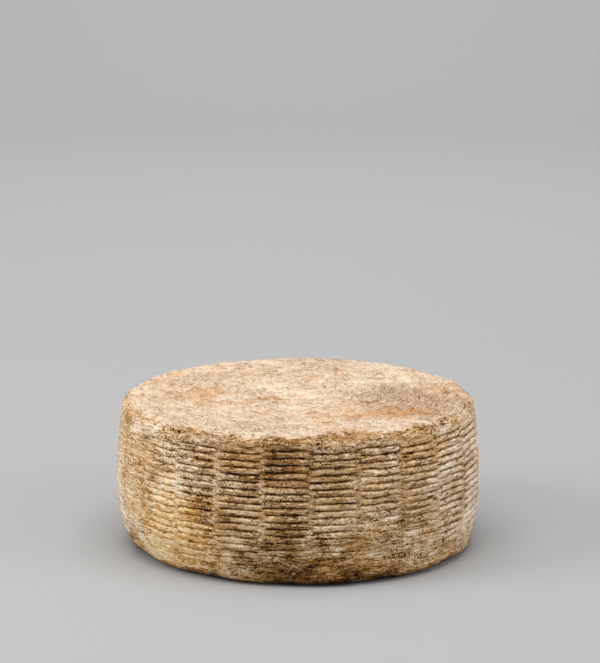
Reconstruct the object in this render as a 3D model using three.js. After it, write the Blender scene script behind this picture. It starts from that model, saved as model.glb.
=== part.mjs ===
import * as THREE from "three";

// A whole tomme: a low drum of natural-rind cheese. It was pressed in a woven basket, whose strands
// left ribs round the wall. The ribs break into upright panels, one for each stake of the basket,
// and step up or down by half a rib from one panel to the next.

// Driving dimensions, in millimetres
const DIAMETER = 219; // at the belly, over the ribs
const HEIGHT = 91;
const BELLY_HEIGHT = 42; // where the wall is fullest
const BELLY = 3.4; // how far the wall draws in from there to the underside's level
const SHOULDER = 9.5; // rounding between the wall and the top face
const FOOT = 11; // rounding between the wall and the underside
const FOOT_LEAN = 6.5; // how much further the foot is worn back on its rounder side
const FOOT_LEAN_SIDE = THREE.MathUtils.degToRad(-80); // where that side faces
const FOOT_LEAN_HEIGHT = 30; // how far up the wall the wear reaches
const OTHER_LEAN = 2.6; // the same for a narrower worn place on the opposite side
const OTHER_LEAN_SIDE = THREE.MathUtils.degToRad(90);
const OTHER_LEAN_POWER = 3; // a higher power gives a narrower place
const DISH = 1.6; // how far the middle of the top face has sunk

// The wall's own unevenness, as waves round it: how many, how high, and turned how far
const BULGES = [{ count: 2, rise: 0.5, turn: -1.2 }, { count: 3, rise: 0.35, turn: -1.1 }];
const STRAYS = [{ count: 2, rise: 0.3, turn: 1 }, { count: 5, rise: 0.2, turn: 0.4 }]; // ribs off level

// The basket's weave
const PANELS = 24; // upright panels round the wall, one for each stake
const FIRST_EDGE = THREE.MathUtils.degToRad(3.5); // a panel's edge, right of the front
const RIB_PITCH = 4.18; // crest to crest, up the wall
const RIBS = 19;
const RIB_DEPTH = 1.3; // groove below crest
const FIRST_GROOVE = 5.5; // height of the lowest groove
const FADING_RIBS = 2.5; // the ribs grow shallow over this many, at the foot and at the shoulder
const EDGE_DEPTH = 0.3; // share of a groove's depth that is left at a panel's edge
const STEP = 0.24; // each panel's ribs sit this share of a pitch above or below the mean
const STEP_ERROR = 0.05; // and stray from that by up to this share
const WORN = 0.3; // the shallowest grooves have lost this share of their depth
const CREST_POWER = 2.6; // a higher power gives a flatter crest and a sharper groove

// The top face's broad wrinkles, which run round it and wander in and out
const WRINKLE_HEIGHT = 0.45;
const WRINKLE_PITCH = 19;
const WANDERS = [{ count: 3, rise: 1.4, turn: 0.5 }, { count: 7, rise: 0.9, turn: 0 }];

// How finely the surface is divided
const PANEL_PLACES = [0, 0.2, 0.8]; // where a panel has columns of vertices: edge, then its two sides
const RIB_PLACES = [0, 1 / 3, 2 / 3]; // where a rib has rows: groove, then the two sides of its crest
const FOOT_STEPS = 3;
const SHOULDER_STEPS = 4;
const TOP_RINGS = 14;

const COLUMNS = PANELS * PANEL_PLACES.length;
const FLAT_RADIUS = DIAMETER / 2 - BELLY - FOOT; // edge of the flat underside
const RIM_RADIUS = DIAMETER / 2 - BELLY - SHOULDER; // where the top face begins to turn down

// Radius of the smooth wall at a height.
function wallRadius(height) {
  const fromBelly = (height - BELLY_HEIGHT) / BELLY_HEIGHT;
  return DIAMETER / 2 - BELLY * fromBelly ** 2;
}

// The sum of some waves at an angle round the wheel.
function sumWaves(waves, angle) {
  let sum = 0;
  for (const { count, rise, turn } of waves) sum += rise * Math.sin(count * angle + turn);
  return sum;
}

// How far a panel's ribs sit above the mean, alternating from panel to panel.
function panelStep(panel) {
  const side = panel % 2 ? 1 : -1;
  return RIB_PITCH * (STEP * side + STEP_ERROR * Math.sin(2.7 * panel));
}

// How far back the foot is worn at a height, on its two rounder sides.
function footWear(angle, height) {
  const facing = Math.max(0, Math.cos(angle - FOOT_LEAN_SIDE));
  const other = Math.max(0, Math.cos(angle - OTHER_LEAN_SIDE)) ** OTHER_LEAN_POWER;
  const share = Math.max(0, 1 - height / FOOT_LEAN_HEIGHT);
  return (FOOT_LEAN * facing + OTHER_LEAN * other) * share ** 2;
}

// A column of vertices: its angle from the front, and its place in its panel.
function columnAt(index) {
  const around = index % COLUMNS;
  const panel = Math.floor(around / PANEL_PLACES.length);
  const place = PANEL_PLACES[around % PANEL_PLACES.length];
  const angle = FIRST_EDGE + ((panel + place) * 2 * Math.PI) / PANELS;
  return { angle, panel, onEdge: place === 0 };
}

// The rows of vertices, from the middle of the underside to the middle of the top face.
function makeRows() {
  const rows = [];
  rows.push({ radius: 0, height: 0 });
  for (let i = 0; i <= FOOT_STEPS; i++) {
    const turn = (i / (FOOT_STEPS + 1)) * (Math.PI / 2);
    const radius = FLAT_RADIUS + FOOT * Math.sin(turn);
    const height = FIRST_GROOVE * (1 - Math.cos(turn));
    rows.push({ radius, height, foot: true });
  }
  for (let rib = 0; rib < RIBS; rib++) {
    for (const place of RIB_PLACES) {
      const height = FIRST_GROOVE + (rib + place) * RIB_PITCH;
      rows.push({ radius: wallRadius(height), height, wall: true, rib, place });
    }
  }
  const wallTop = FIRST_GROOVE + (RIBS - 1 / 3) * RIB_PITCH;
  for (let i = 1; i <= SHOULDER_STEPS; i++) {
    const turn = (i / SHOULDER_STEPS) * (Math.PI / 2);
    const radius = RIM_RADIUS + (wallRadius(wallTop) - RIM_RADIUS) * Math.cos(turn);
    const height = wallTop + (HEIGHT - wallTop) * Math.sin(turn);
    rows.push({ radius, height });
  }
  for (let i = 1; i < TOP_RINGS; i++) {
    const share = 1 - i / TOP_RINGS;
    rows.push({ radius: RIM_RADIUS * share, height: topHeight(share), top: true });
  }
  rows.push({ radius: 0, height: topHeight(0), top: true });
  return rows;
}

// Height of the top face at a share of the rim's radius: it is a little dished.
function topHeight(share) {
  return HEIGHT - DISH * (1 - share ** 2);
}

// How far the top face's wrinkles stand up or down, none at the middle and at the rim.
function wrinkle(angle, radius) {
  const share = radius / RIM_RADIUS;
  const fade = 4 * share * (1 - share);
  const turn = (2 * Math.PI * radius) / WRINKLE_PITCH + sumWaves(WANDERS, angle);
  return WRINKLE_HEIGHT * fade * Math.sin(turn);
}

// Depth of the groove or crest that a wall row follows, below the full radius.
function ribCut(row, column) {
  const crest = 1 - Math.abs(2 * row.place - 1) ** CREST_POWER;
  const up = row.rib + row.place;
  const fade = Math.min(1, (up + 0.5) / FADING_RIBS, (RIBS - up) / FADING_RIBS);
  const worn = (WORN * (1 + Math.sin(1.9 * column.panel + 2.3 * row.rib))) / 2;
  const kept = column.onEdge ? EDGE_DEPTH : 1;
  return RIB_DEPTH * (1 - crest) * fade * (1 - worn) * kept;
}

// How far a wall row is moved up or down at a column.
function ribShift(column) {
  const own = panelStep(column.panel);
  const before = panelStep((column.panel + PANELS - 1) % PANELS);
  return sumWaves(STRAYS, column.angle) + (column.onEdge ? (own + before) / 2 : own);
}

// Where the vertex of a row and a column lies.
function vertexAt(row, column) {
  const { angle } = column;
  let { radius, height } = row;
  if (row.wall) {
    height += ribShift(column);
    radius -= ribCut(row, column);
  }
  if (row.wall || row.foot) radius -= footWear(angle, height);
  if (row.top) height += wrinkle(angle, radius);
  radius += sumWaves(BULGES, angle) * (radius / (DIAMETER / 2));
  return new THREE.Vector3(radius * Math.sin(angle), -radius * Math.cos(angle), height);
}

// The wheel: a lathe's rows and columns, each vertex then set by the rule above.
function makeWheel() {
  const rows = makeRows();
  const profile = rows.map(({ radius, height }) => new THREE.Vector2(radius, height));
  const geometry = new THREE.LatheGeometry(profile, COLUMNS);
  const position = geometry.getAttribute("position");
  for (let i = 0; i < position.count; i++) {
    const column = columnAt(Math.floor(i / rows.length));
    const vertex = vertexAt(rows[i % rows.length], column);
    position.setXYZ(i, vertex.x, vertex.y, vertex.z);
  }
  geometry.computeBoundingBox();
  const middle = geometry.boundingBox.getCenter(new THREE.Vector3());
  geometry.translate(-middle.x, -middle.y, 0);
  geometry.computeVertexNormals();
  const rind = new THREE.MeshStandardMaterial({ color: "#b29064", roughness: 0.92, metalness: 0 });
  const wheel = new THREE.Mesh(geometry, rind);
  wheel.name = "wheel";
  return wheel;
}

const tomme = new THREE.Group();
tomme.add(makeWheel());

export default tomme;
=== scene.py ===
import math

import bpy
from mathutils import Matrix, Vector


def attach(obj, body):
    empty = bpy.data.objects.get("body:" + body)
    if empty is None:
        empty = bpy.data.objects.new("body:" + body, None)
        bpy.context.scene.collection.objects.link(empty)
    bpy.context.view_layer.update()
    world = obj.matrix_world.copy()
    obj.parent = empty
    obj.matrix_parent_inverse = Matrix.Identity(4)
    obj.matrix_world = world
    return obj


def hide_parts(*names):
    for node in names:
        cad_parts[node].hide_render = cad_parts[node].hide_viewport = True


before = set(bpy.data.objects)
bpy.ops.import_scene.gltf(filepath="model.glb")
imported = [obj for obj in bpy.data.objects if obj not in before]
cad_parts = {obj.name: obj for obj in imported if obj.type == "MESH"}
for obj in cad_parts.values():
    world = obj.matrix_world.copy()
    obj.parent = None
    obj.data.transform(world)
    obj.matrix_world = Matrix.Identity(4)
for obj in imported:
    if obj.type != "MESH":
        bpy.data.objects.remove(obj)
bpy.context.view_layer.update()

MM = 0.001

# The wheel's form, as the CAD solid has it
DIAMETER = 219 * MM
HEIGHT = 91 * MM
BELLY_HEIGHT = 42 * MM  # where the wall is fullest
BELLY = 3.4 * MM  # how far the wall draws in from there to the underside's level
SHOULDER = 9.5 * MM
FOOT = 11 * MM
FOOT_LEAN = 6.5 * MM  # how much further the foot is worn back on its rounder side
FOOT_LEAN_SIDE = math.radians(-80)
FOOT_LEAN_HEIGHT = 30 * MM
OTHER_LEAN = 2.6 * MM  # the same for a narrower worn place on the opposite side
OTHER_LEAN_SIDE = math.radians(90)
OTHER_LEAN_POWER = 3
DISH = 1.6 * MM
BULGES = [(2, 0.5 * MM, -1.2), (3, 0.35 * MM, -1.1)]  # waves round the wall: count, rise, turn
STRAYS = [(2, 0.3 * MM, 1.0), (5, 0.2 * MM, 0.4)]  # ribs off level
FLAT_RADIUS = DIAMETER / 2 - BELLY - FOOT
RIM_RADIUS = DIAMETER / 2 - BELLY - SHOULDER

# The basket's weave
PANELS = 24
FIRST_EDGE = math.radians(3.5)
RIB_PITCH = 4.18 * MM
RIBS = 19
RIB_DEPTH = 1.5 * MM
FIRST_GROOVE = 5.5 * MM
PLAIN_RIBS = 0.6  # the lowest ribs are worn off, and the next ones up to FADING_RIBS grow from nothing
FADING_RIBS = 4.0
FADING_TOP_RIBS = 1.2
FAINT_RIBS = 8.5  # below this many, the ribs are fainter, down to FAINT_SHARE at the foot
FAINT_SHARE = 0.45
CREST_POWER = 4.8  # a higher power gives a flatter crest and a sharper groove
STEP = 0.24  # each panel's ribs sit this share of a pitch above or below the mean
STEP_WIDTH = 0.06  # how near a panel's edge its ribs begin to step, as a share of the weave's swing
STAKE_CORE = 0.1  # a stake line's middle, in the same measure
STAKE_WIDTH = 0.38
CORE_SHARE = 0.4  # share of a groove's depth that is left in a stake line's middle
RUBBED_RIB = 0.22  # share that is left on the rubbed side of the wall
RUBBED_FACING = (0.8, 0.96)  # how squarely the wall faces that side where the rubbing begins and is full

# What the form reads of a row of the section. The finish reads its crown
ROW_VALUES = ["reach", "level", "shifted", "rib", "ribbed", "upper", "rim", "top", "along"]

# How finely the surface is divided
COLUMNS_PER_PANEL = 18
EDGE_CLOSENESS = 0.4  # columns are closer by this share at a panel's edge
RIB_PLACES = [0, 0.11, 0.26, 0.5, 0.74, 0.89]  # where a rib has rows: groove, then up its slope
UNDER_RINGS = 14
FOOT_STEPS = 8
UNDERSIDE_FADE = 0.35  # the underside's skin fades by this share at each of them
SHOULDER_STEPS = 9
TOP_RINGS = 76
RIM_RINGS = 6  # the rim's lumps reach this many rings in
MERGE_DISTANCE = 0.01 * MM

# Unevenness of the form, as clouds: their size, then the least and the most that they give
EDGE_RAG = (6 * MM, -0.12, 0.12)  # a panel's edge, in the weave's phase
STAKE_RAG = (5 * MM, -0.12, 0.12)
ROW_WANDER = (17 * MM, -0.45 * MM, 0.45 * MM)  # a row off its level
ROW_JITTER = (14 * MM, -0.3 * MM, 0.3 * MM)
GROOVE_DEPTHS = (11 * MM, 0.35, 1.25)
STAKE_FILLING = (22 * MM, -1.3, -0.5)  # what a groove loses at a stake
RIM_LIP = (12 * MM, -0.9 * MM, 0.9 * MM)
RIM_KNOBS = (5 * MM, -1.0 * MM, 1.0 * MM)
TOP_FOLDS = (13 * MM, -1.1 * MM, 1.1 * MM)
LUMPS = (4.5 * MM, -1.0, 1.0)
LUMP_HEIGHT = 0.28 * MM
STAKE_LUMP_HEIGHT = 0.3 * MM  # what a stake line adds to it
LAY_RADIUS = 100 * MM  # of the plain cylinder on which patterns along the ribs are laid out

# The top's wrinkles run round this place, and have no direction close to it
RING_CENTRE = (8 * MM, 14 * MM, 0)
EVEN_MIDDLE = 30 * MM
FOLD_CLOSENESS = 3.0  # how much finer they are outwards than along
MARK_CLOSENESS = 2.2

# How places are pushed about, so that what is laid out in them wanders: the clouds' size, then the push
RING_WANDER = (40 * MM, 24 * MM)
WORN_WANDER = (12 * MM, 24 * MM)
PATCH_WANDER = (18 * MM, 40 * MM)
PATCH_CORE = 0.2  # a soft patch is full within this share of its reach

# The rind's marks, as clouds in its tone: their size, then the least and the most that they give
BLOTCHES = (20 * MM, -0.13, 0.13)
SMEARS = (3.2 * MM, -0.12, 0.12)
STREAKS = (0.9 * MM, -0.12, 0.12)
CRUMBS = (1.2 * MM, -0.13, 0.13)
GRAINS = (0.55 * MM, -0.34, 0.34)  # real ones are finer than 0.3 mm, and wouldn't show
ROUGHNESS = (16 * MM, 0.3, 1.2)  # how rough the skin is from place to place
GROOVE_GRAINS = (0.75 * MM, 0.25, 1.65)  # how dark a groove is along its length
FOOT_SMUDGES = (8 * MM, -0.2, 0.2)
TINTS = (14 * MM, -0.4, 0.4)
TAN_STAINS = (17 * MM, -0.9, 0.7)
BLOOM_EDGE_RAG = (5 * MM, -0.16, 0.16)
BLOOM_EDGE = (0.64, 0.8)  # how far up the shoulder the bloom begins and is full, as a row's crown
LONG_AS_WIDE = 4  # marks along the ribs, for their width
SHORTER_MARKS = (2, 2, 1)
LONGER_MARKS = (0.45, 0.45, 1)
TOP_MARK_SCALE = 0.45  # marks on the top are coarser by this
TOP_CROWN = 0.8  # and they begin above this crown

# Spots and dashes: size, then how few or how thin they are
PITS = (1.1 * MM, 0.58)
DASHES = (2.6 * MM, 0.03)
DASH_BREAKS = (3 * MM, 0.5)
LONG_FLAKES = (1.0 * MM, 0.57)
ROUND_FLAKES = (0.8 * MM, 0.6)
RUST_SPOTS = (3 * MM, 0.66)
RUST_SPECKS = (1.0 * MM, 0.62)
RUST_SHARE = 0.38

# Tones, from 0 for a finish's darkest colour to 1 for its palest: the skin's own, then what changes it
WALL_TONE = 0.73
TOP_TONE = 0.53
TOP_MARKS_SHARE = 0.6
# the grooves' darkness is partly darker rind in them and partly painted shade in these recesses
GROOVE_TONE = -0.86
# painted light on each rib's upper half and painted shade on its lower half, as from light above
PAINTED_RIB_SHADING_TONE = 0.24
SEAM_TONE = -0.1
FOOT_TONE = -0.26
FOOT_BAND = 20 * MM  # how far up the wall it reaches
# painted contact shadow along the foot's lowest edge, where the wheel meets the floor
CONTACT_SHADOW_TONE = -0.3
CONTACT_SHADOW_POWER = 6  # a higher power keeps it closer to the floor
SMUDGED = (16 * MM, 44 * MM)  # the foot's smudges are full up to the first height and end at the second
# painted shade on the shoulder, in a band just under the rim's edge
PAINTED_SHOULDER_SHADE_TONE = -0.21
PIT_TONE = -0.36
DASH_TONE = -0.34
FLAKE_TONE = 0.12
# painted light where the skin stands out and painted shade in its hollows
RELIEF_LIGHT_AND_SHADE_TONES = (45.0, 130.0)  # for each metre that the skin stands out, on the wall and on the top

# What the wall's ochre and rosy skin gain or lose from each other, from the tints and at the foot
OCHRE_AT_FOOT = 0.5
ROSY_FROM_TINT = -1.2
ROSY_FROM_OCHRE = -0.8
ROSY_AT_FOOT = -0.4

# How matt things are
RIND_ROUGHNESS = 0.95
PAPER_ROUGHNESS = 0.9
FAINT_SHINE = 0.1

# Fine relief of the rind that the mesh doesn't have, for each unit of a mark's tone
CLOUD_RELIEF = 0.6
GRAIN_RELIEF = 0.2
PIT_RELIEF = -0.15
DASH_RELIEF = -0.2
FLAKE_RELIEF = 0.06
RELIEF_HEIGHT = 1.6 * MM

# Colours of the rind's finishes, from the darkest to the palest
BROWN_SKIN = ["#180d05", "#503618", "#8a6439", "#ba966b", "#dec4a1", "#f7e8d3"]
OCHRE_SKIN = ["#1d1005", "#603a12", "#9f6a2a", "#cb964c", "#e3b87c", "#f3dbb0"]
ROSY_SKIN = ["#1e120a", "#573d29", "#8b694a", "#bb9878", "#dfc3a8", "#f4e3d4"]
CREAM_BLOOM = ["#38261b", "#7e6149", "#b69b80", "#d6c0a8", "#eadccb", "#f9f2ea"]
TAN_BLOOM = ["#3a2311", "#815833", "#b4875c", "#cca67f", "#e1c8aa", "#f2e5d4"]
RUST = "#b8702f"
PAPER = "#9b9b9b"
ROOM = "#ffffff"

# Soft patches on the wall: angle to the right of the front, height, reach and share
WORN_PLACES = [(34, 10 * MM, 46 * MM, 0.75), (21, 36 * MM, 17 * MM, 0.9), (66, 22 * MM, 22 * MM, 0.5)]
GROOVE_PATCHES = [(-66, 44 * MM, 110 * MM, -0.65), (34, 44 * MM, 48 * MM, -0.4), (-8, 62 * MM, 45 * MM, 0.3)]
SEAM_PATCHES = [(-30, 60 * MM, 75 * MM, 0.18)]
ROUGH_PATCHES = [(-38, 56 * MM, 48 * MM, 0.2)]
DARK_AND_PAINTED_SHADE_PATCHES = [
    # the first paints shade on the front, where the side lights leave the wall darkest
    (-8, 48 * MM, 60 * MM, -0.17),
    (18, 4 * MM, 38 * MM, -0.2),
    (-22, 72 * MM, 24 * MM, -0.1),
    (38, 36 * MM, 34 * MM, -0.09),
    (-4, 20 * MM, 30 * MM, -0.24),
    (-53, 36 * MM, 32 * MM, -0.1),
    (-28, 30 * MM, 24 * MM, -0.09),
    (-56, 68 * MM, 28 * MM, -0.12),
    (-26, 44 * MM, 22 * MM, -0.08),
    (-70, 76 * MM, 50 * MM, -0.08),
    # these last four paint shade in a band under the rim's edge; the others darken the rind from place to
    # place
    (-36, 82 * MM, 34 * MM, -0.12),
    (-4, 86 * MM, 30 * MM, -0.18),
    (12, 83 * MM, 26 * MM, -0.13),
    (38, 88 * MM, 28 * MM, -0.15),
]
PALE_AND_PAINTED_LIGHT_PATCHES = [
    # the first two are partly paler rind and partly painted light from the key on the left and the fill on
    # the right
    (-62, 44 * MM, 90 * MM, 0.12),
    (76, 48 * MM, 72 * MM, 0.11),
    (-50, 6 * MM, 50 * MM, 0.09),
    (-52, 1 * MM, 24 * MM, 0.2),
    (-40, 58 * MM, 22 * MM, 0.1),
    (-25, 2 * MM, 28 * MM, 0.14),
    (-12, 2 * MM, 26 * MM, 0.16),
    (68, 28 * MM, 44 * MM, 0.1),
    (-15, 50 * MM, 26 * MM, 0.16),
]
OCHRE_PATCHES = [
    (-40, 30 * MM, 42 * MM, 1.1),
    (-48, 12 * MM, 30 * MM, 0.4),
    (-78, 6 * MM, 42 * MM, -0.4),
    (-64, 54 * MM, 52 * MM, 0.35),
    (38, 86 * MM, 30 * MM, 0.25),
]
ROSY_PATCHES = [
    (75, 50 * MM, 70 * MM, 0.7),
    (-85, 45 * MM, 60 * MM, 0.15),
    (-10, 20 * MM, 60 * MM, -0.6),
    (40, 16 * MM, 50 * MM, -0.6),
]
BLOOM_EDGE_PATCHES = [(13, 88 * MM, 34 * MM, -0.24), (48, 88 * MM, 55 * MM, -0.08)]

# Soft patches on the top: place, reach and share
# a painted shadow over the top's right side
TOP_PAINTED_SHADOW_PATCHES = [((70 * MM, -10 * MM, HEIGHT), 60 * MM, -0.16)]
TAN_PATCHES = [
    ((-25 * MM, -88 * MM, HEIGHT), 50 * MM, -1.0),
    ((-63 * MM, 8 * MM, HEIGHT), 26 * MM, 1.1),
    ((38 * MM, -52 * MM, HEIGHT), 22 * MM, 1.1),
    ((64 * MM, -46 * MM, HEIGHT), 22 * MM, 1.1),
]

# The camera, at the photo's angle
IMAGE_HEIGHT = 663
SENSOR = 36.0
CAMERA_DISTANCE = 2.0
CAMERA_PITCH = math.radians(12.3)
CAMERA_AIM = Vector((1.12 * MM, 0, 129.85 * MM))
PIXELS_PER_METRE = 1654.9

# The studio's lights: name, place, where they are turned, width and watts
LIGHTS = [
    ("key", (-1.4, -0.45, 1.0), (0, 0, 0.05), 0.9, 16),
    ("fill", (1.5, -0.65, 0.9), (0, 0, 0.05), 0.9, 9),
    ("overhead", (0, -0.3, 2.0), (0, 0, 0), 1.8, 40),
    ("backdrop", (0, 1.4, 1.6), (0, 2.6, 0.3), 1.6, 20),
]
ROOM_BRIGHTNESS = 0.53

# The floor, which sweeps up behind the wheel
FLOOR_HALF_WIDTH = 4.0
FLOOR_FRONT = -3.0
FLOOR_BACK = 1.6
SWEEP_RADIUS = 1.2
SWEEP_STEPS = 16
BACKDROP_TOP = 4.0

# Blender's noise
NOISE_RANGE = (0.3, 0.7)  # it seldom leaves this
NOISE_ROUGHNESS = 0.55
SPOT_EDGE = 0.06


def linear(hex_colour):
    """An sRGB hex colour as linear red, green, blue and alpha."""
    channels = [int(hex_colour[i:i + 2], 16) / 255 for i in (1, 3, 5)]
    return [c / 12.92 if c <= 0.04045 else ((c + 0.055) / 1.055) ** 2.4 for c in channels] + [1]


def add(tree, kind, *values, inputs=None, **settings):
    """Adds a node with its settings and gives its first output. Sockets among the values are linked."""
    node = tree.nodes.new(kind)
    for name, value in settings.items():
        setattr(node, name, value)
    pairs = list(zip([socket for socket in node.inputs if socket.enabled], values))
    pairs += [(node.inputs[name], value) for name, value in (inputs or {}).items()]
    for socket, value in pairs:
        if isinstance(value, bpy.types.NodeSocket):
            tree.links.new(value, socket)
        elif value is not None:
            socket.default_value = value
    return next((socket for socket in node.outputs if socket.enabled), None)


def total(tree, *parts):
    """The sum of some values."""
    so_far = parts[0]
    for part in parts[1:]:
        so_far = add(tree, "ShaderNodeMath", so_far, part, operation="ADD")
    return so_far


def product(tree, *parts):
    """The product of some values."""
    so_far = parts[0]
    for part in parts[1:]:
        so_far = add(tree, "ShaderNodeMath", so_far, part, operation="MULTIPLY")
    return so_far


def clamped(tree, *parts):
    """The sum of some values, kept from 0 to 1."""
    return add(tree, "ShaderNodeMath", total(tree, *parts), 0.0, operation="ADD", use_clamp=True)


def sum_waves(tree, waves, angle):
    """The sum of some waves at an angle round the wheel."""
    so_far = 0.0
    for count, rise, turn in waves:
        phase = add(tree, "ShaderNodeMath", angle, count, turn, operation="MULTIPLY_ADD")
        wave = add(tree, "ShaderNodeMath", phase, operation="SINE")
        so_far = add(tree, "ShaderNodeMath", wave, rise, so_far, operation="MULTIPLY_ADD")
    return so_far


def clouds(tree, place, size, low, high, stretch=(1, 1, 1), detail=2.0, seed=0.0):
    """Cloudy noise from low to high, with clouds of a size that are stretched along each axis."""
    scale = [1 / s for s in stretch]
    laid = add(tree, "ShaderNodeVectorMath", place, scale, (seed, seed, seed), operation="MULTIPLY_ADD")
    cloud = add(tree, "ShaderNodeTexNoise", laid, 1 / size, detail, NOISE_ROUGHNESS)
    return add(tree, "ShaderNodeMapRange", cloud, *NOISE_RANGE, low, high)


def hairlines(tree, place, size, width, seed=0.0):
    """Thin wandering lines, 1 in their middle and 0 beside them."""
    laid = add(tree, "ShaderNodeVectorMath", place, (seed, seed, seed), operation="ADD")
    cloud = add(tree, "ShaderNodeTexNoise", laid, 1 / size, 2.0, NOISE_ROUGHNESS)
    off = add(tree, "ShaderNodeMath", cloud, -0.5, operation="ADD")
    off = add(tree, "ShaderNodeMath", off, operation="ABSOLUTE")
    return add(tree, "ShaderNodeMapRange", off, 0.0, width, 1.0, 0.0)


def spots(tree, place, size, edge, seed=0.0, detail=1.0):
    """Spots with clear edges, 1 inside and 0 outside. A higher edge gives fewer."""
    laid = add(tree, "ShaderNodeVectorMath", place, (seed, seed, seed), operation="ADD")
    cloud = add(tree, "ShaderNodeTexNoise", laid, 1 / size, detail, NOISE_ROUGHNESS)
    return add(tree, "ShaderNodeMapRange", cloud, edge, edge + SPOT_EDGE, 0.0, 1.0)


def wandering(tree, place, size, reach, seed=0.0):
    """A place pushed about by cloudy noise, so that patterns in it wander."""
    laid = add(tree, "ShaderNodeVectorMath", place, (seed, seed, seed), operation="ADD")
    push = add(tree, "ShaderNodeTexNoise", laid, 1 / size, 2.0, NOISE_ROUGHNESS).node.outputs["Color"]
    push = add(tree, "ShaderNodeVectorMath", push, (-0.5, -0.5, -0.5), operation="ADD")
    push = add(tree, "ShaderNodeVectorMath", push, operation="SCALE", inputs={"Scale": reach})
    return add(tree, "ShaderNodeVectorMath", place, push, operation="ADD")


def ringed(tree, place, closeness):
    """A place for patterns that run loosely round the top: closeness times as fine outwards as along."""
    loose = wandering(tree, place, *RING_WANDER, seed=0.7)
    flat = add(tree, "ShaderNodeVectorMath", loose, RING_CENTRE, operation="SUBTRACT")
    flat = add(tree, "ShaderNodeVectorMath", flat, (1, 1, 0), operation="MULTIPLY")
    out = add(tree, "ShaderNodeVectorMath", flat, operation="LENGTH").node.outputs["Value"]
    beyond = add(tree, "ShaderNodeMath", out, EVEN_MIDDLE, operation="ADD")
    raised = add(tree, "ShaderNodeMath", product(tree, out, out, closeness), beyond, operation="DIVIDE")
    raised = add(tree, "ShaderNodeCombineXYZ", 0.0, 0.0, raised)
    return add(tree, "ShaderNodeVectorMath", flat, raised, operation="ADD")


def on_wall(degrees, height):
    """A place on the wall, by its angle to the right of the front and its height."""
    angle = math.radians(degrees)
    return (DIAMETER / 2 * math.sin(angle), -DIAMETER / 2 * math.cos(angle), height)


def patch(tree, place, centre, reach, share):
    """A soft patch round a centre: its share in the middle, none beyond its reach."""
    far = add(tree, "ShaderNodeVectorMath", place, centre, operation="DISTANCE").node.outputs["Value"]
    return add(tree, "ShaderNodeMapRange", far, reach, PATCH_CORE * reach, 0.0, share,
               interpolation_type="SMOOTHSTEP")


def wall_patches(tree, place, patches):
    """The sum of some soft patches on the wall."""
    return total(tree, *[patch(tree, place, on_wall(degrees, height), reach, share)
                         for degrees, height, reach, share in patches])


def top_patches(tree, place, patches):
    """The sum of some soft patches on the top."""
    return total(tree, *[patch(tree, place, centre, reach, share) for centre, reach, share in patches])


def wall_radius(height):
    """Radius of the smooth wall at a height."""
    return DIAMETER / 2 - BELLY * ((height - BELLY_HEIGHT) / BELLY_HEIGHT) ** 2


def section_rows():
    """Rows of the section, from the middle of the underside to the middle of the top.

    Each knows its radius (reach) and height (level), what share of a panel's step it takes (shifted), its
    rib, how deep the ribs are there (ribbed), which half of a rib it is on (upper), its share in the rim
    and the top, and its crown: 0 on the wall, and up to 1 where it lies in the top or the underside."""
    wall_top = FIRST_GROOVE + (RIBS - 1 + RIB_PLACES[-1]) * RIB_PITCH
    rows = []
    for i in range(UNDER_RINGS):
        rows.append(dict(reach=FLAT_RADIUS * i / UNDER_RINGS, level=0.0, crown=1.0))
    for i in range(FOOT_STEPS):
        turn = i / FOOT_STEPS * math.pi / 2
        height = FIRST_GROOVE * (1 - math.cos(turn))
        rows.append(dict(reach=FLAT_RADIUS + FOOT * math.sin(turn), level=height,
                         shifted=height / FIRST_GROOVE, crown=max(0, 1 - UNDERSIDE_FADE * i)))
    for rib in range(RIBS):
        for place in RIB_PLACES:
            up = rib + place
            height = FIRST_GROOVE + up * RIB_PITCH
            grown = max(0, (up - PLAIN_RIBS) / (FADING_RIBS - PLAIN_RIBS))
            faint = FAINT_SHARE + (1 - FAINT_SHARE) * min(1, up / FAINT_RIBS) ** 2
            ribbed = min(1, grown, (RIBS - up) / FADING_TOP_RIBS) * faint
            upper = (place - 0.5) * ribbed if place else 0.0
            rows.append(dict(reach=wall_radius(height), level=height, shifted=1.0, rib=up,
                             ribbed=ribbed, upper=upper))
    for i in range(1, SHOULDER_STEPS + 1):
        turn = i / SHOULDER_STEPS * math.pi / 2
        height = wall_top + (HEIGHT - wall_top) * math.sin(turn)
        radius = RIM_RADIUS + (wall_radius(wall_top) - RIM_RADIUS) * math.cos(turn)
        rows.append(dict(reach=radius, level=height, shifted=(HEIGHT - height) / (HEIGHT - wall_top),
                         rim=math.sin(turn), crown=math.sin(turn)))
    for i in range(1, TOP_RINGS + 1):
        share = 1 - i / TOP_RINGS
        rows.append(dict(reach=RIM_RADIUS * share, level=HEIGHT - DISH * (1 - share ** 2),
                         top=min(1, i / RIM_RINGS), rim=max(0, 1 - i / RIM_RINGS), crown=1.0))
    return rows


def make_section():
    """The section as a line of points, each with what the relief needs to know about its row."""
    rows = section_rows()
    mesh = bpy.data.meshes.new("wheel")
    points = [(row["reach"], 0, row["level"]) for row in rows]
    mesh.from_pydata(points, [(i, i + 1) for i in range(len(rows) - 1)], [])
    along = 0.0
    for i, row in enumerate(rows):
        if i:
            along += math.dist(points[i], points[i - 1])
        row["along"] = along
    for name in ROW_VALUES + ["crown"]:
        values = mesh.attributes.new(name, "FLOAT", "POINT").data
        for i, row in enumerate(rows):
            values[i].value = row.get(name, 0.0)
    section = bpy.data.objects.new("wheel", mesh)
    bpy.context.scene.collection.objects.link(section)
    return section


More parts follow.
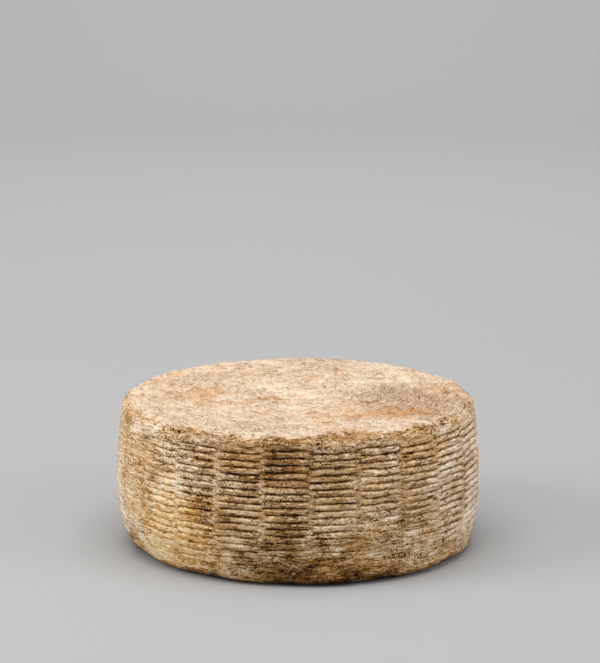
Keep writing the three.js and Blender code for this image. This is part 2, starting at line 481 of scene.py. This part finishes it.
def turned_section(tree, given):
    """The section taken round a circle, whose points know their angle and crowd towards panels' edges."""
    circle = add(tree, "GeometryNodeCurvePrimitiveCircle", given["Columns"], 1.0, mode="RADIUS")
    index = add(tree, "GeometryNodeInputIndex")
    share = add(tree, "ShaderNodeMath", index, given["Columns"], operation="DIVIDE")
    even = product(tree, share, 2 * math.pi)
    crowd = add(tree, "ShaderNodeMath", product(tree, even, given["Panels"]), operation="SINE")
    crowd = product(tree, crowd, given["Edge closeness"])
    crowd = add(tree, "ShaderNodeMath", crowd, given["Panels"], operation="DIVIDE")
    turned = add(tree, "ShaderNodeMath", total(tree, even, given["First edge"]), crowd, operation="SUBTRACT")
    circle = add(tree, "GeometryNodeStoreNamedAttribute", circle, None, "angle", turned,
                 data_type="FLOAT", domain="POINT")
    line = add(tree, "GeometryNodeMeshToCurve", given["Section"])
    return add(tree, "GeometryNodeCurveToMesh", circle, line)


def round_wheel(tree, radius, side, front, height):
    """A place by its radius, the sine and cosine of its angle from the front, and its height."""
    return add(tree, "ShaderNodeCombineXYZ", product(tree, radius, side),
               product(tree, radius, front, -1.0), height)


def facing(tree, angle, towards):
    """How squarely the wall faces an angle: 1 straight towards it, below 0 away from it."""
    off = add(tree, "ShaderNodeMath", angle, towards, operation="SUBTRACT")
    return add(tree, "ShaderNodeMath", off, operation="COSINE")


def stake_lines(tree, given, angle, lay):
    """Each panel's step, how near a stake a point is, and how much of a groove its middle leaves."""
    from_edge = add(tree, "ShaderNodeMath", angle, given["First edge"], operation="SUBTRACT")
    per_turn = add(tree, "ShaderNodeMath", given["Panels"], 2.0, operation="DIVIDE")
    half_turns = product(tree, from_edge, per_turn)
    phase = total(tree, half_turns, clouds(tree, lay, *EDGE_RAG, seed=9.4))
    weave = add(tree, "ShaderNodeMath", phase, operation="SINE")
    step = add(tree, "ShaderNodeMapRange", weave, -STEP_WIDTH, STEP_WIDTH,
               given["Rib step"], product(tree, given["Rib step"], -1.0))
    off_edge = add(tree, "ShaderNodeMath", weave, operation="ABSOLUTE")
    between = total(tree, off_edge, clouds(tree, lay, *STAKE_RAG, seed=3.1))
    stake = add(tree, "ShaderNodeMapRange", between, STAKE_CORE, given["Stake width"], 1.0, 0.0,
                interpolation_type="SMOOTHSTEP")
    apart = add(tree, "ShaderNodeMapRange", off_edge, 0.0, STAKE_CORE, CORE_SHARE, 1.0)
    return step, stake, apart


def row_height(tree, row, angle, lay, step):
    """A row's height: its level, with the panel's step and the row's own unevenness."""
    drift = total(tree, sum_waves(tree, STRAYS, angle), step, clouds(tree, lay, *ROW_WANDER, seed=7.7),
                  clouds(tree, lay, *ROW_JITTER, stretch=(1, 1, 0.3), seed=1.3))
    return add(tree, "ShaderNodeMath", drift, row["shifted"], row["level"], operation="MULTIPLY_ADD")


def pressed_ribs(tree, given, row, angle, lay, stake, apart):
    """The grooves, sharp at the bottom and ragged in depth, and the ribs' upper halves, which carry painted
    light above and painted shade below.

    Both are filled at the stakes and rubbed off on one side of the wall."""
    beside = add(tree, "ShaderNodeMath", row["rib"], 0.5, operation="PINGPONG")
    into = add(tree, "ShaderNodeMath", beside, -2.0, 1.0, operation="MULTIPLY_ADD")
    groove = add(tree, "ShaderNodeMath", into, CREST_POWER, operation="POWER")
    lasting = clouds(tree, lay, *GROOVE_DEPTHS, stretch=(1, 1, 0.3), seed=5.9)
    filling = clouds(tree, lay, *STAKE_FILLING, stretch=(1, 1, 2), seed=6.6)
    left_open = add(tree, "ShaderNodeMath", stake, filling, 1.0, operation="MULTIPLY_ADD")
    left_open = add(tree, "ShaderNodeMath", left_open, 0.0, operation="MAXIMUM")
    rubbed = add(tree, "ShaderNodeMapRange", facing(tree, angle, FOOT_LEAN_SIDE), *RUBBED_FACING,
                 1.0, given["Rubbed rib"])
    groove = product(tree, groove, row["ribbed"], lasting, left_open, apart, rubbed)
    upper = product(tree, row["upper"], left_open, apart, rubbed)
    return groove, upper


def worn_grooves(tree, groove, smooth):
    """The grooves with what the worn places take from them."""
    smooth = wandering(tree, smooth, *WORN_WANDER, seed=2.9)
    for degrees, height, reach, share in WORN_PLACES:
        worn = patch(tree, smooth, on_wall(degrees, height), reach, share)
        groove = product(tree, groove, add(tree, "ShaderNodeMath", 1.0, worn, operation="SUBTRACT"))
    return groove


def foot_wear(tree, given, row, angle, height):
    """How far back the foot is worn, on its two rounder sides."""
    one_side = add(tree, "ShaderNodeMath", facing(tree, angle, FOOT_LEAN_SIDE), 0.0, operation="MAXIMUM")
    other = add(tree, "ShaderNodeMath", facing(tree, angle, OTHER_LEAN_SIDE), 0.0, operation="MAXIMUM")
    other = add(tree, "ShaderNodeMath", other, OTHER_LEAN_POWER, operation="POWER")
    lean = total(tree, product(tree, one_side, given["Foot lean"]), product(tree, other, given["Other lean"]))
    low = add(tree, "ShaderNodeMapRange", height, 0.0, FOOT_LEAN_HEIGHT, 1.0, 0.0)
    low = add(tree, "ShaderNodeMath", low, 2.0, operation="POWER")
    out_share = add(tree, "ShaderNodeMath", row["reach"], FLAT_RADIUS, operation="DIVIDE")
    out_share = add(tree, "ShaderNodeMath", out_share, 1.0, operation="MINIMUM")
    return product(tree, lean, low, out_share)


def skin_relief(tree, row, place, on_stake):
    """How far the skin stands out: lumps all over, folds on the top and knobs along the rim."""
    lump_height = add(tree, "ShaderNodeMath", on_stake, STAKE_LUMP_HEIGHT, LUMP_HEIGHT,
                      operation="MULTIPLY_ADD")
    lumps = product(tree, clouds(tree, place, *LUMPS, detail=3.0, seed=4.4), lump_height)
    folds = clouds(tree, ringed(tree, place, FOLD_CLOSENESS), *TOP_FOLDS, seed=8.2)
    knobs = clouds(tree, place, *RIM_KNOBS, seed=8.8)
    return total(tree, lumps, product(tree, folds, row["top"]), product(tree, knobs, row["rim"]))


def form_tree(rind):
    """Geometry Nodes that turn the section round into the wheel and press the basket's weave into it."""
    tree = bpy.data.node_groups.new("basket_pressed_wheel", "GeometryNodeTree")
    tree.interface.new_socket("Geometry", in_out="OUTPUT", socket_type="NodeSocketGeometry")
    tree.interface.new_socket("Section", in_out="INPUT", socket_type="NodeSocketGeometry")
    sizes = {"Columns": PANELS * COLUMNS_PER_PANEL, "Panels": PANELS, "First edge": FIRST_EDGE,
             "Edge closeness": EDGE_CLOSENESS, "Rib step": STEP * RIB_PITCH,
             "Rib depth": RIB_DEPTH, "Rubbed rib": RUBBED_RIB, "Stake width": STAKE_WIDTH,
             "Foot lean": FOOT_LEAN, "Other lean": OTHER_LEAN}
    for name, size in sizes.items():
        kind = "NodeSocketInt" if isinstance(size, int) else "NodeSocketFloat"
        tree.interface.new_socket(name, in_out="INPUT", socket_type=kind)
    given = tree.nodes.new("NodeGroupInput").outputs
    wheel = turned_section(tree, given)

    # What each point knows: its row's values, its angle, and its place on a plain cylinder
    row = {name: add(tree, "GeometryNodeInputNamedAttribute", name, data_type="FLOAT") for name in ROW_VALUES}
    angle = add(tree, "GeometryNodeInputNamedAttribute", "angle", data_type="FLOAT")
    side = add(tree, "ShaderNodeMath", angle, operation="SINE")
    front = add(tree, "ShaderNodeMath", angle, operation="COSINE")
    lay = round_wheel(tree, LAY_RADIUS, side, front, row["along"])

    # The weave, then the wheel's own bulges and wear
    step, stake, apart = stake_lines(tree, given, angle, lay)
    height = row_height(tree, row, angle, lay, step)
    groove, upper = pressed_ribs(tree, given, row, angle, lay, stake, apart)
    groove = worn_grooves(tree, groove, round_wheel(tree, row["reach"], side, front, row["level"]))
    wear = foot_wear(tree, given, row, angle, height)
    out_share = add(tree, "ShaderNodeMath", row["reach"], DIAMETER / 2, operation="DIVIDE")
    bulge = product(tree, sum_waves(tree, BULGES, angle), out_share)
    lip = product(tree, clouds(tree, lay, *RIM_LIP, seed=2.2), row["rim"])
    radius = add(tree, "ShaderNodeMath", row["reach"], wear, operation="SUBTRACT")
    radius = total(tree, radius, bulge, lip)
    cut = product(tree, groove, given["Rib depth"])
    radius = add(tree, "ShaderNodeMath", radius, cut, operation="SUBTRACT")
    place = round_wheel(tree, radius, side, front, height)
    wheel = add(tree, "GeometryNodeSetPosition", wheel, None, place)

    # What the rind's finish reads: its patterns are laid out along the shifted rows
    on_stake = product(tree, stake, row["ribbed"])
    skin = skin_relief(tree, row, place, on_stake)
    rise = add(tree, "ShaderNodeMath", height, row["level"], operation="SUBTRACT")
    rise = add(tree, "ShaderNodeCombineXYZ", 0.0, 0.0, rise)
    lay = add(tree, "ShaderNodeVectorMath", lay, rise, operation="ADD")
    # the ribs' halves are stored for the painted light and shade on them
    for name, kind, value in (("lay", "FLOAT_VECTOR", lay), ("groove", "FLOAT", groove),
                              ("painted_rib_shading", "FLOAT", upper), ("stake", "FLOAT", on_stake),
                              ("skin", "FLOAT", skin)):
        wheel = add(tree, "GeometryNodeStoreNamedAttribute", wheel, None, name, value,
                    data_type=kind, domain="POINT")

    # The skin stands out from the form, but nothing hangs below the flat underside
    normal = add(tree, "GeometryNodeInputNormal")
    out = add(tree, "ShaderNodeVectorMath", normal, operation="SCALE", inputs={"Scale": skin})
    wheel = add(tree, "GeometryNodeSetPosition", wheel, None, None, out)
    lifted = add(tree, "GeometryNodeInputPosition")
    lifted = add(tree, "ShaderNodeVectorMath", lifted, (-1.0, -1.0, 0.0), operation="MAXIMUM")
    wheel = add(tree, "GeometryNodeSetPosition", wheel, None, lifted)

    wheel = add(tree, "GeometryNodeMergeByDistance", wheel, None, MERGE_DISTANCE)
    wheel = add(tree, "GeometryNodeSetShadeSmooth", wheel)
    wheel = add(tree, "GeometryNodeRealizeInstances", wheel)
    wheel = add(tree, "GeometryNodeSetMaterial", wheel, None, rind)
    tree.links.new(wheel, tree.nodes.new("NodeGroupOutput").inputs[0])
    return tree, sizes


def coloured(tree, tone, colours):
    """Colours evenly spaced from tone 0 to tone 1."""
    ramp = add(tree, "ShaderNodeValToRGB", tone)
    stops = ramp.node.color_ramp.elements
    last = len(colours) - 1
    for i in range(1, last):
        stops.new(i / last)
    for i, (stop, colour) in enumerate(zip(stops, colours)):
        stop.position = i / last
        stop.color = linear(colour)
    return ramp


def wall_skin(tree, place, warped, marks_and_relief_shading, known):
    """The wall's skin: dark in the grooves, partly with painted shade, painted shade at the front, under the
    rim and along the foot's contact line, painted light and shade on each rib's halves, ochre, and paler to
    the left, partly with painted light from that side.
    """
    height = add(tree, "ShaderNodeSeparateXYZ", place).node.outputs["Z"]
    low = add(tree, "ShaderNodeMapRange", height, 0.0, FOOT_BAND, 1.0, 0.0)
    # painted contact shadow at the foot's lowest edge
    lowest = add(tree, "ShaderNodeMath", low, CONTACT_SHADOW_POWER, operation="POWER")
    near_foot = add(tree, "ShaderNodeMapRange", height, *SMUDGED, 1.0, 0.0)
    smudge = clouds(tree, place, *FOOT_SMUDGES, stretch=(1.5, 1.5, 0.6), detail=3.0, seed=23.0)
    dark = product(tree, clouds(tree, place, *GROOVE_GRAINS, seed=11.0),
                   total(tree, 1.0, wall_patches(tree, place, GROOVE_PATCHES)))
    seam = total(tree, SEAM_TONE, wall_patches(tree, place, SEAM_PATCHES))
    tone = total(tree, WALL_TONE, marks_and_relief_shading, wall_patches(tree, warped, DARK_AND_PAINTED_SHADE_PATCHES + PALE_AND_PAINTED_LIGHT_PATCHES),
                 product(tree, known["groove"], dark, GROOVE_TONE),
                 product(tree, known["painted_rib_shading"], PAINTED_RIB_SHADING_TONE),
                 product(tree, known["stake"], seam), product(tree, known["crown"], PAINTED_SHOULDER_SHADE_TONE),
                 product(tree, low, FOOT_TONE), product(tree, lowest, CONTACT_SHADOW_TONE),
                 product(tree, smudge, near_foot))
    tint = clouds(tree, place, *TINTS, detail=3.0, seed=13.0)
    ochre = wall_patches(tree, warped, OCHRE_PATCHES)
    rosy = total(tree, wall_patches(tree, warped, ROSY_PATCHES), product(tree, tint, ROSY_FROM_TINT),
                 product(tree, ochre, ROSY_FROM_OCHRE), product(tree, low, ROSY_AT_FOOT))
    ochre = clamped(tree, ochre, product(tree, low, OCHRE_AT_FOOT), tint)
    skin = add(tree, "ShaderNodeMix", ochre, coloured(tree, tone, BROWN_SKIN),
               coloured(tree, tone, OCHRE_SKIN), data_type="RGBA")
    return add(tree, "ShaderNodeMix", clamped(tree, rosy), skin, coloured(tree, tone, ROSY_SKIN),
               data_type="RGBA")


def top_skin(tree, place, warped, marks_and_relief_shading):
    """The top's skin: cream bloom with brown in the pits, painted shade in the wrinkles' hollows and painted
    light on their crests, a painted shadow on its right, and tan patches.
    """
    tone = total(tree, TOP_TONE, marks_and_relief_shading, top_patches(tree, warped, TOP_PAINTED_SHADOW_PATCHES))
    stained = clouds(tree, place, *TAN_STAINS, detail=3.0, seed=16.0)
    stained = clamped(tree, stained, top_patches(tree, warped, TAN_PATCHES))
    return add(tree, "ShaderNodeMix", stained, coloured(tree, tone, CREAM_BLOOM),
               coloured(tree, tone, TAN_BLOOM), data_type="RGBA")


def bloom_cover(tree, place, warped, crown):
    """How far the top's bloom covers the skin: it reaches down to the rim, with a ragged edge."""
    ragged = clouds(tree, place, *BLOOM_EDGE_RAG, detail=4.0, seed=9.0)
    reached = total(tree, crown, ragged, wall_patches(tree, warped, BLOOM_EDGE_PATCHES))
    return add(tree, "ShaderNodeMapRange", reached, *BLOOM_EDGE, 0.0, 1.0)


def rind_marks(tree, place, warped, lay, crown):
    """The rind's marks, which run along the ribs on the wall and more loosely round the top."""
    along_ribs = add(tree, "ShaderNodeVectorMath", lay, (1 / LONG_AS_WIDE, 1 / LONG_AS_WIDE, 1),
                     operation="MULTIPLY")
    round_top = ringed(tree, place, MARK_CLOSENESS)
    round_top = add(tree, "ShaderNodeVectorMath", round_top, operation="SCALE",
                    inputs={"Scale": TOP_MARK_SCALE})
    on_top = add(tree, "ShaderNodeMath", crown, TOP_CROWN, operation="GREATER_THAN")
    way = add(tree, "ShaderNodeMix", on_top, along_ribs, round_top, data_type="VECTOR")
    short_way = add(tree, "ShaderNodeVectorMath", way, SHORTER_MARKS, operation="MULTIPLY")
    long_way = add(tree, "ShaderNodeVectorMath", way, LONGER_MARKS, operation="MULTIPLY")
    rough = total(tree, clouds(tree, place, *ROUGHNESS, seed=20.0),
                  wall_patches(tree, warped, ROUGH_PATCHES))
    breaks = spots(tree, short_way, *DASH_BREAKS, seed=15.0)
    return {
        "blotches": clouds(tree, place, *BLOTCHES, detail=4.0, seed=1.0),
        "smears": clouds(tree, way, *SMEARS, detail=3.0, seed=2.0),
        "streaks": clouds(tree, way, *STREAKS, stretch=(2, 2, 1), seed=6.0),
        "crumbs": clouds(tree, way, *CRUMBS, seed=3.0),
        "grains": clouds(tree, place, *GRAINS, detail=1.0, seed=4.0),
        "rough": rough,
        "pits": product(tree, rough, spots(tree, short_way, *PITS, seed=17.0)),
        "dashes": product(tree, hairlines(tree, long_way, *DASHES, seed=14.0), breaks),
        "flakes": total(tree, spots(tree, way, *LONG_FLAKES, seed=18.0),
                        spots(tree, place, *ROUND_FLAKES, seed=22.0)),
    }


def rust_specks(tree, place):
    """How much rust-coloured mould there is: small spots and smaller specks."""
    rust = total(tree, spots(tree, place, *RUST_SPOTS, seed=19.0, detail=2.0),
                 spots(tree, place, *RUST_SPECKS, seed=21.0))
    return clamped(tree, product(tree, rust, RUST_SHARE))


def dry_rind():
    """A tomme's dry natural rind: brown skin under a dusty cream bloom, dark where the basket pressed in,
    partly darker rind and partly painted shade in the grooves.

    The dry mould and dust scatter light to every side, so the rind is matt and shows almost no shine."""
    material = bpy.data.materials.new("dry_natural_rind")
    material.use_nodes = True
    tree = material.node_tree
    surface = tree.nodes["Principled BSDF"]
    lay = add(tree, "ShaderNodeAttribute", attribute_name="lay").node.outputs["Vector"]
    known = {name: add(tree, "ShaderNodeAttribute", attribute_name=name).node.outputs["Fac"]
             for name in ("groove", "painted_rib_shading", "stake", "skin", "crown")}
    place = add(tree, "ShaderNodeTexCoord").node.outputs["Object"]
    warped = wandering(tree, place, *PATCH_WANDER)

    # The marks darken and lighten the skin, and its relief adds painted light and shade: what stands out is
    # painted paler and its hollows darker
    marks = rind_marks(tree, place, warped, lay, known["crown"])
    painted_relief_shading = add(tree, "ShaderNodeMapRange", known["crown"], 0.5, 1.0, *RELIEF_LIGHT_AND_SHADE_TONES)
    marks_and_relief_shading = total(tree, marks["blotches"], marks["smears"], marks["streaks"],
                   product(tree, known["skin"], painted_relief_shading),
                   product(tree, total(tree, marks["crumbs"], marks["grains"]), marks["rough"]),
                   product(tree, marks["pits"], PIT_TONE), product(tree, marks["dashes"], DASH_TONE),
                   product(tree, marks["flakes"], FLAKE_TONE))
    skin = wall_skin(tree, place, warped, marks_and_relief_shading, known)
    bloom = top_skin(tree, place, warped, product(tree, marks_and_relief_shading, TOP_MARKS_SHARE))
    cover = bloom_cover(tree, place, warped, known["crown"])
    colour = add(tree, "ShaderNodeMix", cover, skin, bloom, data_type="RGBA")
    colour = add(tree, "ShaderNodeMix", rust_specks(tree, place), colour, linear(RUST), data_type="RGBA")
    tree.links.new(colour, surface.inputs["Base Color"])
    surface.inputs["Roughness"].default_value = RIND_ROUGHNESS
    surface.inputs["Specular IOR Level"].default_value = FAINT_SHINE

    # The marks' own relief, too fine for the mesh
    raised = total(tree, marks["smears"], marks["streaks"], marks["crumbs"])
    relief = total(tree, product(tree, raised, CLOUD_RELIEF), product(tree, marks["grains"], GRAIN_RELIEF),
                   product(tree, marks["pits"], PIT_RELIEF), product(tree, marks["dashes"], DASH_RELIEF),
                   product(tree, marks["flakes"], FLAKE_RELIEF))
    bump = add(tree, "ShaderNodeBump", inputs={"Strength": 1.0, "Distance": RELIEF_HEIGHT, "Height": relief})
    tree.links.new(bump, surface.inputs["Normal"])
    return material


def make_wheel():
    """The wheel as one plain mesh, centred on the frame's own middle."""
    section = make_section()
    tree, sizes = form_tree(dry_rind())
    modifier = section.modifiers.new("form", "NODES")
    modifier.node_group = tree
    for socket in tree.interface.items_tree:
        if socket.in_out == "INPUT" and socket.name in sizes:
            modifier[socket.identifier] = sizes[socket.name]
    depsgraph = bpy.context.evaluated_depsgraph_get()
    mesh = bpy.data.meshes.new_from_object(section.evaluated_get(depsgraph))
    section.modifiers.remove(modifier)
    section.data = mesh
    for name in ROW_VALUES + ["angle"]:
        if name in mesh.attributes:
            mesh.attributes.remove(mesh.attributes[name])
    xs = [v.co.x for v in mesh.vertices]
    ys = [v.co.y for v in mesh.vertices]
    middle = Vector(((min(xs) + max(xs)) / 2, (min(ys) + max(ys)) / 2, 0))
    for v in mesh.vertices:
        v.co -= middle
    print("wheel", len(mesh.polygons), "faces", sum(len(p.vertices) - 2 for p in mesh.polygons), "triangles")
    return section


def matt_paper():
    """Pale matt paper, as a studio's backdrop is: one even grey with no shine to speak of."""
    material = bpy.data.materials.new("pale_paper")
    material.use_nodes = True
    surface = material.node_tree.nodes["Principled BSDF"]
    surface.inputs["Base Color"].default_value = linear(PAPER)
    surface.inputs["Roughness"].default_value = PAPER_ROUGHNESS
    surface.inputs["Specular IOR Level"].default_value = FAINT_SHINE
    return material


def make_floor():
    """A plain pale floor that sweeps up behind the wheel."""
    line = [(FLOOR_FRONT, 0.0), (FLOOR_BACK, 0.0)]
    for i in range(1, SWEEP_STEPS + 1):
        turn = i / SWEEP_STEPS * math.pi / 2
        line.append((FLOOR_BACK + SWEEP_RADIUS * math.sin(turn), SWEEP_RADIUS * (1 - math.cos(turn))))
    line.append((FLOOR_BACK + SWEEP_RADIUS, BACKDROP_TOP))
    points = [(x, y, z) for y, z in line for x in (-FLOOR_HALF_WIDTH, FLOOR_HALF_WIDTH)]
    faces = [(2 * i, 2 * i + 1, 2 * i + 3, 2 * i + 2) for i in range(len(line) - 1)]
    mesh = bpy.data.meshes.new("floor")
    mesh.from_pydata(points, [], faces)
    for face in mesh.polygons:
        face.use_smooth = True
    mesh.materials.append(matt_paper())
    floor = bpy.data.objects.new("floor", mesh)
    bpy.context.scene.collection.objects.link(floor)


def make_light(name, place, aim, width, watts):
    """A soft square light that shines from a place to where it aims."""
    light = bpy.data.lights.new(name, "AREA")
    light.size = width
    light.energy = watts
    lamp = bpy.data.objects.new(name, light)
    lamp.location = place
    lamp.rotation_euler = (Vector(aim) - Vector(place)).to_track_quat("-Z", "Y").to_euler()
    bpy.context.scene.collection.objects.link(lamp)


def light_studio():
    """Soft studio light from above, stronger from the left than from the right, in a pale room."""
    for name, place, aim, width, watts in LIGHTS:
        make_light(name, place, aim, width, watts)
    world = bpy.data.worlds.new("room")
    world.use_nodes = True
    world.node_tree.nodes["Background"].inputs["Color"].default_value = linear(ROOM)
    world.node_tree.nodes["Background"].inputs["Strength"].default_value = ROOM_BRIGHTNESS
    bpy.context.scene.world = world


def make_camera():
    """The camera, pitched down as in the photo and far enough off for its flat perspective."""
    camera = bpy.data.cameras.new("camera")
    camera.sensor_width = SENSOR
    camera.lens = PIXELS_PER_METRE * CAMERA_DISTANCE * SENSOR / IMAGE_HEIGHT
    camera.clip_end = 50
    holder = bpy.data.objects.new("camera", camera)
    back = Vector((0, -math.cos(CAMERA_PITCH), math.sin(CAMERA_PITCH)))
    holder.location = CAMERA_AIM + back * CAMERA_DISTANCE
    holder.rotation_euler = (-back).to_track_quat("-Z", "Y").to_euler()
    bpy.context.scene.collection.objects.link(holder)
    bpy.context.scene.camera = holder


make_camera()
light_studio()
make_floor()
wheel = make_wheel()
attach(wheel, "root")
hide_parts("wheel")
bpy.context.scene.view_settings.view_transform = "Standard"
